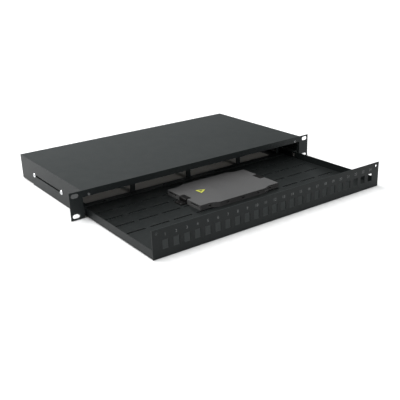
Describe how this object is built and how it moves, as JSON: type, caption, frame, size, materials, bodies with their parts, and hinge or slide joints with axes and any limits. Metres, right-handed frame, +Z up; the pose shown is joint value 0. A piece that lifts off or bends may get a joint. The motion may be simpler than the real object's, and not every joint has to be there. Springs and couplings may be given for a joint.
{
  "type": "fiber termination box",
  "caption": "Rack-mount fiber termination box, one unit high: black sheet-steel housing with ears and a pull-out drawer that holds a splice tray behind a panel of adapter ports.",
  "frame": {"origin": "centre of the four rack slots, on the rear face of the rack ears", "axes": "+X to the right seen from the front, +Y to the rear of the rack, +Z up; the drawer is stored fully pulled out towards -Y"},
  "size_m": [0.4826, 0.446, 0.044],
  "materials": {
    "housing_paint": "fine matt black powder coat",
    "base_paint": "matt warm-grey paint, scuffed by the drawer",
    "rail_paint": "matt black powder coat",
    "drawer_paint": "fine matt black powder coat",
    "zinc_plate": "bright zinc plate",
    "brass": "turned brass",
    "edge_rubber": "matt black rubber",
    "tray_plastic": "fine-grained dark grey plastic",
    "holder_plastic": "black moulded plastic",
    "clip_plastic": "black moulded plastic"
  },
  "bodies": {
    "housing": {"housing_shell": "housing_paint", "base_plate": "base_paint", "rear_panel": "housing_paint", "rear_rivets": "zinc_plate", "guide_rail_left": "rail_paint", "guide_rail_right": "rail_paint", "rail_screws_left": "zinc_plate", "rail_screws_right": "zinc_plate", "rail_nuts_left": "zinc_plate", "rail_nuts_right": "zinc_plate", "lock_nuts": "zinc_plate", "rear_trim_1": "edge_rubber", "rear_trim_2": "edge_rubber", "rear_trim_3": "edge_rubber", "rear_trim_4": "edge_rubber", "earth_stud": "brass", "earth_washer": "brass", "earth_nut": "brass"},
    "drawer": {"drawer_tray": "drawer_paint", "drawer_rear_wall": "drawer_paint", "wall_rivets": "drawer_paint", "front_panel": "drawer_paint", "splice_tray_base": "tray_plastic", "splice_holder_front": "holder_plastic", "splice_holder_rear": "holder_plastic", "tray_clip_left": "clip_plastic", "tray_clip_right": "clip_plastic", "clip_rivets": "clip_plastic"},
    "splice_lid": {"splice_tray_lid": "tray_plastic"}
  },
  "joints": [
    {"name": "drawer_slide", "type": "slide", "parent": "housing", "child": "drawer", "axis": [0, 1, 0], "range_m": [0, 0.1865]},
    {"name": "lid_lift", "type": "slide", "parent": "drawer", "child": "splice_lid", "axis": [0, 0, 1], "range_m": [0, 0.02]}
  ]
}
